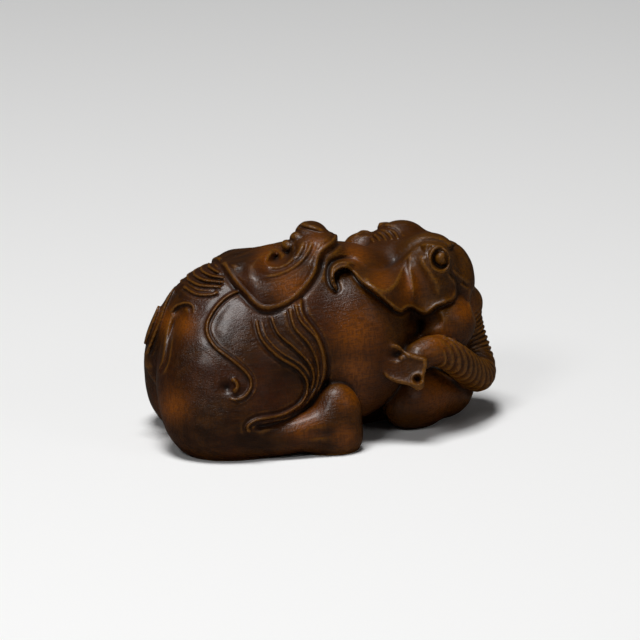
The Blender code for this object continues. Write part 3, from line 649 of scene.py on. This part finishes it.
def legs(points):
    near = near_side(points)
    hind = blend(limb(near, SHANK, SHANK_RADII)[0], mass(near, HIND_FOOT), 1.5)
    hind = blend(hind, mass(near, HOOF), 3.0)
    fore = blend(mass(near, FOREFOOT, FOREFOOT_TURN), mass(near, TOES, FOREFOOT_TURN), 1.5)
    both = np.minimum(hind, fore)
    close = both < CREASE_REACH
    if close.any():
        flat = drawing(bend(near[close]))
        both[close] -= line_relief(flat, FOOT_CREASE, ((0.0, 0.35, 0.3), (-0.9, 0.7, -0.25)), 0.1, 0.1)
        both[close] -= line_relief(flat, PAD_CREASE, ((0.0, 0.8, -0.45),), 0.35, 0.35)
    return both


def knob(points):
    """The flattened dome on the saddle, with the line of its lid."""
    shape = mass(points, KNOB)
    close = shape < CREASE_REACH
    if close.any():
        shape[close] -= line_relief(drawing(bend(points[close])), KNOB_LID, LID_STRANDS, 0.1, 0.1)
    return shape


print("the knob's top stands at", KNOB[0][2] + KNOB[1][2], "mm")

# %% [markdown]
# ## The trunk
# The trunk is ringed like a real one. The rings stand square to it where it comes down from the face and
# lean over where it comes round the forefoot, and its tip opens like a small mouth with two nostrils.

# %% Trunk
TRUNK_TIP = (
    (12.9, 15.2), (13.6, 16.4), (15.6, 16.5), (17.4, 15.0), (19.4, 14.2), (21.1, 13.6), (21.3, 12.0), (20.7, 9.8),
    (20.7, 8.0), (19.4, 7.1), (17.8, 8.1), (15.6, 8.7), (13.4, 10.0), (13.2, 12.2), (12.9, 13.8),
)
TIP_FRONT = 17.6
TIP_DEPTH = 6.0
RING_HEIGHT = 0.3
RING_SPACING = 1.15
LEANING_SPACING = 2.2
RING_LEAN = 0.95
LEANS_FROM = 0.46
RINGED_FROM, RINGED_TO = 0.2, 0.95
UPPER_NOSTRIL = (15.6, 14.5)
UPPER_NOSTRIL_SIZE = (1.6, 1.15)
UPPER_LUMP = (16.3, 13.9)
LOWER_NOSTRIL = (19.35, 9.5)


def rings(points, share):
    """Rounded rings with sharp grooves between them, which lean over along the last part."""
    line = curve(TRUNK, steps=LIMB_STEPS)
    length = np.linalg.norm(np.diff(line, axis=0), axis=1)
    passed = np.concatenate([[0.0], np.cumsum(length)])
    middle = np.stack([np.interp(share * passed[-1], passed, line[:, axis]) for axis in range(3)], axis=1)
    above = (points - middle) @ UPWARDS
    along = share * passed[-1] - RING_LEAN * above * ease((share - LEANS_FROM) / 0.12)
    turn = LEANS_FROM * passed[-1]
    count = np.minimum(along, turn) / RING_SPACING + np.maximum(along - turn, 0.0) / LEANING_SPACING
    profile = 2.0 * np.abs(np.sin(pi * count)) ** 0.8 - 1.3
    return RING_HEIGHT * profile * ease((share - RINGED_FROM) / 0.1) * ease((RINGED_TO - share) / 0.05)


def tip_front(flat, depth):
    """The trunk's open end: a rolled rim, a broad upper nostril with a lump in it and a round lower one."""
    front = TIP_FRONT + 0.3 * bump(depth - 0.6, 0.55) * ease((flat[:, 0] - 13.6) / 2.5) - 0.15 * ease(depth / 2.2)
    upper = np.hypot(*((flat - UPPER_NOSTRIL) / UPPER_NOSTRIL_SIZE).T)
    lower = np.hypot(*(flat - LOWER_NOSTRIL).T)
    front = front - 1.5 * bump(upper, 0.85) + 0.12 * bump(upper - 1.3, 0.35) + spot(flat, UPPER_LUMP, 0.5, 0.8)
    return front - 1.6 * bump(lower, 0.55) + 0.35 * bump(lower - 1.1, 0.3)


def trunk(points):
    shape, share = limb(points, TRUNK, TRUNK_RADII)
    close = shape < CREASE_REACH
    if close.any():
        shape[close] -= rings(points[close], share[close])
    flat = drawing(points)
    ring = curve(TRUNK_TIP, closed=True, steps=3)
    near = close_to(flat, ring, 3.0) & (np.abs(points @ TOWARDS - TIP_FRONT) < 12.0)
    if near.any():
        flat = flat[near]
        toward = points[near] @ TOWARDS
        depth = depth_within(flat, ring, 3.0)
        side = -(depth - 0.32 * np.maximum(TIP_FRONT - toward, 0.0)) * 0.92
        slab = cut(cut(side, toward - tip_front(flat, depth), 0.7), TIP_FRONT - TIP_DEPTH - toward, 0.5)
        shape[near] = blend(shape[near], slab, 1.2)
    return shape


print("rings:", round(float(trunk_length * (RINGED_TO - RINGED_FROM) / RING_SPACING)), "at most")

# %% [markdown]
# ## The figure in one function
# Now everything is one height field. The feet and the trunk meet the body with narrow fillets, because they
# lie against it, and the relief is taken from body and head only. Nothing goes below the ground.

# %% The whole figure
# Fillets where the parts meet, and how near the skin carving is worked out, in mm
NECK_FILLET, LEG_FILLET, TRUNK_FILLET, KNUCKLE_FILLET = 2.2, 0.7, 0.9, 0.8
KNOB_FILLET, BEAD_FILLET, TAIL_FILLET = 0.5, 0.4, 0.6
CARVING_REACH = 4.5


def figure(points):
    """Distance outside the figure's surface, in grid units; negative inside."""
    points = unbend(np.asarray(points, float))
    shape = blend(body(points), head(points), NECK_FILLET)
    close = shape < CARVING_REACH
    if close.any():
        shape[close] -= relief(points[close])
    shape = blend(shape, legs(points), LEG_FILLET)
    shape = blend(shape, trunk(points), TRUNK_FILLET)
    shape = blend(shape, mass(points, FACE_KNUCKLE), KNUCKLE_FILLET)
    shape = blend(shape, knob(points), KNOB_FILLET)
    for bead in BEADS:
        shape = blend(shape, mass(points, bead), BEAD_FILLET)
    shape = blend(shape, tail(points), TAIL_FILLET)
    return np.maximum(shape, -points[:, 2])


above_knob = np.array([[KNOB[0][0], 0.0, KNOB[0][2] + KNOB[1][2] + 3.0]])
print("3 mm above the knob the skin is", figure(above_knob).round(1), "mm away")

# %% [markdown]
# ## From solid to fine carving
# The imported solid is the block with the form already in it. A copy of it gets an even skin, and then every
# vertex slides down the slope of the figure until it lies on the carved surface.

# %% The block
def coordinates(mesh):
    places = np.empty(len(mesh.vertices) * 3, np.float32)
    mesh.vertices.foreach_get("co", places)
    return places.reshape(-1, 3).astype(float)


def copy_of_solid():
    """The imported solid's mesh on the grid, with its split vertices joined."""
    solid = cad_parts["elephant"].data
    block = bmesh.new()
    block.from_mesh(solid)
    bmesh.ops.remove_doubles(block, verts=block.verts, dist=1e-6)
    mesh = bpy.data.meshes.new("elephant_carving")
    block.to_mesh(mesh)
    block.free()
    mesh.vertices.foreach_set("co", on_grid(coordinates(mesh)).astype(np.float32).ravel())
    mesh.update()
    return mesh


block_skin = copy_of_solid()
print("block:", len(block_skin.polygons), "faces")


# %% Tools for the skin
def evaluated(figure_object):
    """Swaps an object's mesh for what its modifiers make of it."""
    graph = bpy.context.evaluated_depsgraph_get()
    made = bpy.data.meshes.new_from_object(figure_object.evaluated_get(graph))
    figure_object.modifiers.clear()
    figure_object.data = made


def refine(figure_object, grain):
    """One even skin round everything."""
    skin = figure_object.modifiers.new("Skin", "REMESH")
    skin.mode = "VOXEL"
    skin.voxel_size = grain
    evaluated(figure_object)


def carve(figure_object, passes, most=0.6):
    """Presses every vertex in or out, square to the skin, until it lies on the figure."""
    mesh = figure_object.data
    places = coordinates(mesh)
    outward = np.empty(len(places) * 3, np.float32)
    mesh.vertex_normals.foreach_get("vector", outward)
    outward = outward.reshape(-1, 3)
    height = figure(places)
    step = np.clip(0.6 * height, -most, most)
    for _ in range(passes):
        places = places - outward * step[:, None]
        left = figure(places)
        moving = np.abs(step) > 1e-3
        steep = np.where(moving, (height - left) / np.where(moving, step, 1.0), 1.0)
        step = np.where(steep > 0.4, np.clip(left / np.maximum(steep, 0.6), -most, most), 0.0)
        height = left
    places = places - outward * step[:, None]
    mesh.vertices.foreach_set("co", places.ravel())
    mesh.update()


def even_out(figure_object, strokes):
    """Spreads the vertices evenly along steep edges, as a light sanding would."""
    smooth = figure_object.modifiers.new("Even", "SMOOTH")
    smooth.factor = 0.5
    smooth.iterations = strokes
    evaluated(figure_object)

# %% Carve the elephant
ROUGH_GRAIN = 0.5
FINE_GRAIN = 0.23
MOST_TRIANGLES = 194000

elephant = bpy.data.objects.new("elephant_carving", block_skin)
bpy.context.scene.collection.objects.link(elephant)
refine(elephant, ROUGH_GRAIN)
carve(elephant, 2)
refine(elephant, FINE_GRAIN)
carve(elephant, 2)
even_out(elephant, 1)
carve(elephant, 1)
print("fine skin:", len(elephant.data.vertices), "vertices")

# %% [markdown]
# ## Where hands reach and where shade is painted
# Polish wears the ridges light. The hollows are darkened with painted shade, and the middle ones also with the
# stain and wax that stay in them. Both follow from the shape, so they are measured on the dense skin: a
# smoothed copy lies outside the skin in a hollow and inside it on a ridge.

# %% Measure hollows and ridges
def smoothed(values, ends, rounds):
    """Averages each vertex with its neighbours, over and over."""
    count = len(values)
    first, second = ends[:, 0], ends[:, 1]
    degree = np.maximum(np.bincount(ends.ravel(), minlength=count), 1)[:, None]
    for _ in range(rounds):
        columns = [
            np.bincount(first, part[second], count) + np.bincount(second, part[first], count) for part in values.T
        ]
        values = np.stack(columns, axis=1) / degree
    return values


def measured_hollows(mesh, rounds):
    """How far, in mm, the skin lies under its own smoothed copy, for each number of rounds."""
    places = coordinates(mesh)
    normals = np.empty(len(mesh.vertices) * 3, np.float32)
    mesh.vertex_normals.foreach_get("vector", normals)
    normals = normals.reshape(-1, 3)
    ends = np.empty(len(mesh.edges) * 2, np.int32)
    mesh.edges.foreach_get("vertices", ends)
    ends = ends.reshape(-1, 2)
    soft, done, found = places, 0, []
    for total in rounds:
        soft = smoothed(soft, ends, total - done)
        done = total
        found.append(((soft - places) * normals).sum(1))
    return found


dense_places = coordinates(elephant.data)
FINE_ROUNDS = ((8, 50, 200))
dense_hollows = measured_hollows(elephant.data, FINE_ROUNDS)
for rounds, depth in zip(FINE_ROUNDS, dense_hollows):
    print(rounds, "rounds: ridges to and hollows to", np.percentile(depth, (1, 99)).round(3), "mm")

# %% [markdown]
# ## Fewer triangles
# The even skin spends as many triangles on a smooth cheek as on a fold. Decimating it keeps them where the
# carving is. Each vertex that is left takes the measures of the nearest one of the dense skin.

# %% Thin the skin
def thin_to(figure_object, count):
    """Spends the triangles where the carving is."""
    triangles = sum(len(face.vertices) - 2 for face in figure_object.data.polygons)
    thin = figure_object.modifiers.new("Thin", "DECIMATE")
    thin.ratio = min(count / triangles, 1.0)
    evaluated(figure_object)


def nearest_dense(places):
    """For each place, the number of the closest vertex of the dense skin."""
    tree = KDTree(len(dense_places))
    for number, place in enumerate(dense_places):
        tree.insert(place, number)
    tree.balance()
    return np.array([tree.find(place)[1] for place in places])


thin_to(elephant, MOST_TRIANGLES)
kept = nearest_dense(coordinates(elephant.data))
for name, depth in zip(("fine_hollow", "hollow", "broad_hollow"), dense_hollows):
    layer = elephant.data.attributes.new(name, "FLOAT", "POINT")
    layer.data.foreach_set("value", depth[kept].astype(np.float32))
mesh = elephant.data
print("kept", len(mesh.vertices), "vertices")

# %% [markdown]
# ## Where fingers rub
# Some places are rubbed most: the swell of the cloth, the pleats, the chest and the feet. Each is
# a soft spot on the side drawing, kept as one more measure on every vertex. They could be painted by hand.

# %% Where fingers rub
# Across and up on the side drawing, and radius
HANDLED_SPOTS = (
    (-29.0, 4.2, 3.0), (-30.0, 21.0, 2.5), (-26.6, 20.2, 2.2), (-10.0, 33.8, 2.6), (-6.0, 27.8, 3.4), (-0.8, 36.0, 2.4),
    (7.0, 18.8, 4.6), (7.0, 11.2, 3.6), (7.0, 34.4, 2.6), (12.0, 28.8, 2.6), (18.4, 28.2, 3.0), (29.0, 23.2, 2.6),
    (23.5, 17.2, 3.6), (23.5, 6.2, 3.8), (6.0, 6.2, 3.0), (-3.0, 1.2, 3.4), (5.0, -1.8, 2.2),
)

flat = drawing(coordinates(mesh))
handled = np.zeros(len(flat))
for across, up, radius in HANDLED_SPOTS:
    handled = np.maximum(handled, spot(flat, (across, up), radius, 1.0))
layer = mesh.attributes.new("handled", "FLOAT", "POINT")
layer.data.foreach_set("value", handled.astype(np.float32))
print("rubbed bright:", round(100 * float((handled > 0.5).mean())), "% of the vertices")

# %% [markdown]
# ## In place of the solid
# The carving goes back from the grid to metres, rides on the same body and takes the solid's place.

# %% Back to metres
mesh.vertices.foreach_set("co", in_metres(coordinates(mesh)).astype(np.float32).ravel())
mesh.polygons.foreach_set("use_smooth", [True] * len(mesh.polygons))
mesh.update()
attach(elephant, "root")
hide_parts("elephant")
print("carving:", sum(len(face.vertices) - 2 for face in mesh.polygons), "triangles")

# %% [markdown]
# ## Helpers for the finish
# A material in Blender is a graph of nodes. It could be built by hand in the shader editor; in a script a few
# small helpers keep each step of the finish to one line.

# %% Node helpers
def shader(material, kind, **settings):
    """Adds a node; settings that name an input fill it, the others are the node's own."""
    made = material.node_tree.nodes.new(kind)
    for name, value in settings.items():
        label = name.replace("_", " ").title()
        if label in made.inputs:
            made.inputs[label].default_value = value
        else:
            setattr(made, name, value)
    return made


def join(material, out, into):
    material.node_tree.links.new(out, into)


def attribute(material, name):
    return shader(material, "ShaderNodeAttribute", attribute_name=name).outputs["Fac"]


def ranged(material, value, low, high, to_low=0.0, to_high=1.0):
    """Maps low..high of a value smoothly to to_low..to_high."""
    made = shader(
        material, "ShaderNodeMapRange", interpolation_type="SMOOTHSTEP", clamp=True,
        from_min=low, from_max=high, to_min=to_low, to_max=to_high,
    )
    join(material, value, made.inputs["Value"])
    return made.outputs["Result"]


def feed(material, value, socket):
    """Fills a socket with a value, or joins another node's output to it."""
    if isinstance(value, bpy.types.NodeSocket):
        join(material, value, socket)
    else:
        socket.default_value = value


def mixed(material, share, under, over):
    """Mixes two colours; each is a colour or an output."""
    made = shader(material, "ShaderNodeMix", data_type="RGBA")
    for number, value in ((0, share), (6, under), (7, over)):
        feed(material, value, made.inputs[number])
    return made.outputs[2]


def combined(material, how, a, b):
    made = shader(material, "ShaderNodeMath", operation=how)
    for number, value in enumerate((a, b)):
        feed(material, value, made.inputs[number])
    return made.outputs[0]


def noise(material, place, stretch, turn=(0.0, 0.0, 0.0), detail=2.0, roughness=0.6):
    """A cloudy texture; its clouds are so many mm long each way, and turned."""
    mapping = shader(material, "ShaderNodeMapping")
    mapping.inputs["Scale"].default_value = [1.0 / (UNIT * value) for value in stretch]
    mapping.inputs["Rotation"].default_value = [radians(value) for value in turn]
    join(material, place, mapping.inputs["Vector"])
    made = shader(material, "ShaderNodeTexNoise", scale=1.0, detail=detail, roughness=roughness)
    join(material, mapping.outputs[0], made.inputs["Vector"])
    return made.outputs[0]


print("helpers for nodes are ready")

# %% [markdown]
# ## Stained and waxed boxwood
# Boxwood is pale and very dense. The carver stains it almost black-brown and waxes it, and handling then
# wears the stain: the front half goes ochre, rubbed places glow orange and the ridges turn light. The hollows
# are darkened with painted shade, and the middle ones also with wax. A photograph wrapped round the form could
# show this too, but would not follow the carving. So each layer here is mixed in by a mask that is measured from the
# shape.

# %% Colours of the stain, the wear and the painted shade
STAIN_DEEP = (0.0180, 0.0052, 0.0002, 1.0)
STAIN_WARM = (0.0480, 0.0150, 0.0004, 1.0)
STAIN_RED = (0.0460, 0.0086, 0.0002, 1.0)
STAIN_OCHRE = (0.0820, 0.0270, 0.0003, 1.0)
HANDLED_GLOW = (0.1850, 0.0480, 0.0006, 1.0)
WORN = (0.1700, 0.0640, 0.0040, 1.0)
# Near black: painted shade in the hollows, and dark wax in the middle ones
PAINTED_SHADE_AND_WAX = (0.0040, 0.0014, 0.0004, 1.0)
OCHRE_FROM, OCHRE_FULL = -0.014, 0.022
print("the stain's red is", round(STAIN_WARM[0] / STAIN_WARM[1], 1), "times its green")


# %% Layers of the finish
STROKE_DEPTH = 0.00011
SMOOTHEST, DULLEST = 0.28, 0.40
WAX_SHINE, WAX_FILM, WAX_FILM_ROUGHNESS = 0.28, 0.15, 0.18


def boxwood():
    material = bpy.data.materials.new("boxwood_waxed")
    material.use_nodes = True
    surface = material.node_tree.nodes["Principled BSDF"]
    place = shader(material, "ShaderNodeTexCoord").outputs["Object"]
    fine, middle, broad = (attribute(material, name) for name in ("fine_hollow", "hollow", "broad_hollow"))
    # Stain: darker and lighter streaks along the block
    streaks = noise(material, place, (9.0, 1.6, 1.6), detail=4.0)
    clouds = noise(material, place, (14.0, 14.0, 14.0), roughness=0.5)
    base = mixed(material, ranged(material, streaks, 0.35, 0.7), STAIN_DEEP, STAIN_WARM)
    base = mixed(material, ranged(material, clouds, 0.4, 0.65, 0.0, 0.6), base, STAIN_RED)
    # The front half is handled most and has gone ochre
    along = shader(material, "ShaderNodeSeparateXYZ")
    join(material, place, along.inputs[0])
    front = ranged(material, along.outputs["X"], OCHRE_FROM, OCHRE_FULL)
    front = combined(material, "MULTIPLY", front, ranged(material, clouds, 0.62, 0.35, 0.35, 1.0))
    base = mixed(material, front, base, STAIN_OCHRE)
    rubbed = combined(material, "MULTIPLY", attribute(material, "handled"), 0.9)
    base = mixed(material, rubbed, base, HANDLED_GLOW)
    # Polish wears the ridges light. Painted shade darkens the hollows, and the middle ones also as dark wax
    worn = ranged(material, middle, -0.16, -0.55, 0.0, 0.4)
    worn = combined(material, "MULTIPLY", worn, ranged(material, streaks, 0.2, 0.6, 0.45, 1.0))
    base = mixed(material, worn, base, WORN)
    base = mixed(material, ranged(material, fine, -0.018, -0.085, 0.0, 0.6), base, WORN)
    # Painted shade in the broad hollows, then painted shade and dark wax in the middle ones
    base = mixed(material, ranged(material, broad, 0.15, 1.0, 0.0, 0.6), base, PAINTED_SHADE_AND_WAX)
    base = mixed(material, ranged(material, middle, 0.14, 0.65, 0.0, 0.6), base, PAINTED_SHADE_AND_WAX)
    # Fine strokes of the scraper, in two directions
    strokes = noise(material, place, (2.6, 0.34, 0.34), (0.0, 35.0, 12.0))
    crossing = noise(material, place, (0.34, 0.34, 2.4), (0.0, -25.0, 20.0))
    pores = noise(material, place, (0.5, 0.2, 0.2), detail=3.0, roughness=0.7)
    stained = ranged(material, combined(material, "ADD", strokes, crossing), 0.9, 1.15, 0.0, 0.45)
    base = mixed(material, stained, base, STAIN_DEEP)
    join(material, base, surface.inputs["Base Color"])
    height = combined(material, "ADD", strokes, combined(material, "MULTIPLY", crossing, 0.8))
    height = combined(material, "ADD", height, combined(material, "MULTIPLY", pores, 0.6))
    scratches = shader(material, "ShaderNodeBump", strength=1.0, distance=STROKE_DEPTH)
    join(material, height, scratches.inputs["Height"])
    join(material, scratches.outputs[0], surface.inputs["Normal"])
    # Wax shines where it is rubbed and stays dull in the hollows
    rough = ranged(material, strokes, 0.35, 0.65, SMOOTHEST, DULLEST)
    rough = combined(material, "ADD", rough, ranged(material, middle, 0.0, 0.25, 0.0, 0.2))
    join(material, rough, surface.inputs["Roughness"])
    surface.inputs["Specular IOR Level"].default_value = WAX_SHINE
    surface.inputs["Coat Weight"].default_value = WAX_FILM
    surface.inputs["Coat Roughness"].default_value = WAX_FILM_ROUGHNESS
    return material


wood = boxwood()
elephant.data.materials.clear()
elephant.data.materials.append(wood)
print("finish:", wood.name, "with", len(wood.node_tree.nodes), "nodes")

# %% [markdown]
# ## Floor and light
# Small carvings are photographed on a sheet of white paper under a softbox, which draws the long soft
# highlights on the waxed back. The paper is a plain sheet here. Seen in the polish its white would lie like
# a grey veil over the dark wood, so the Light Path node makes it dim for glossy rays only.

# %% Floor
FLOOR_HALF = 3.0
FLOOR_BELOW = 0.00002
FLOOR_COLOUR = (0.93, 0.93, 0.925, 1.0)
FLOOR_IN_GLOSS = (0.06, 0.05, 0.04, 1.0)
PAPER_ROUGHNESS = 0.9


def floor_sheet():
    sheet = bmesh.new()
    bmesh.ops.create_grid(sheet, x_segments=1, y_segments=1, size=FLOOR_HALF)
    mesh = bpy.data.meshes.new("floor")
    sheet.to_mesh(mesh)
    sheet.free()
    made = bpy.data.objects.new("floor", mesh)
    made.location.z = -FLOOR_BELOW
    paper = bpy.data.materials.new("pale_floor")
    paper.use_nodes = True
    surface = paper.node_tree.nodes["Principled BSDF"]
    glossy = shader(paper, "ShaderNodeLightPath").outputs["Is Glossy Ray"]
    join(paper, mixed(paper, glossy, FLOOR_COLOUR, FLOOR_IN_GLOSS), surface.inputs["Base Color"])
    surface.inputs["Roughness"].default_value = PAPER_ROUGHNESS
    mesh.materials.append(paper)
    bpy.context.scene.collection.objects.link(made)
    return made


print("floor:", floor_sheet().name, 2 * FLOOR_HALF, "m across")

# %% Lights
# Name, then across, up, towards the viewer and size, all in metres, and watts
SOFTBOXES = (
    ("overhead", -0.12, 0.95, 0.20, 0.36, 9.0), ("front_left", -0.42, 0.50, 0.80, 0.24, 2.0),
    ("fill", 0.8, 0.35, 0.6, 0.4, 0.5),
)
STUDIO_GLOW = 0.03


def soft_light(name, across, up, towards, size, power):
    """A square softbox, placed from the drawing and turned to the figure."""
    lamp = bpy.data.lights.new(name, "AREA")
    lamp.shape = "SQUARE"
    lamp.size = size
    lamp.energy = power
    made = bpy.data.objects.new(name, lamp)
    made.location = across * Vector(ACROSS) + up * Vector((0.0, 0.0, 1.0)) + towards * Vector(TOWARDS)
    made.rotation_euler = (made.location - aim).to_track_quat("Z", "Y").to_euler()
    bpy.context.scene.collection.objects.link(made)
    return made


for box in SOFTBOXES:
    soft_light(*box)
world = bpy.data.worlds.new("studio")
world.use_nodes = True
backdrop = world.node_tree.nodes["Background"]
backdrop.inputs["Color"].default_value = (1.0, 1.0, 1.0, 1.0)
backdrop.inputs["Strength"].default_value = STUDIO_GLOW
bpy.context.scene.world = world
bpy.context.scene.view_settings.view_transform = "Standard"
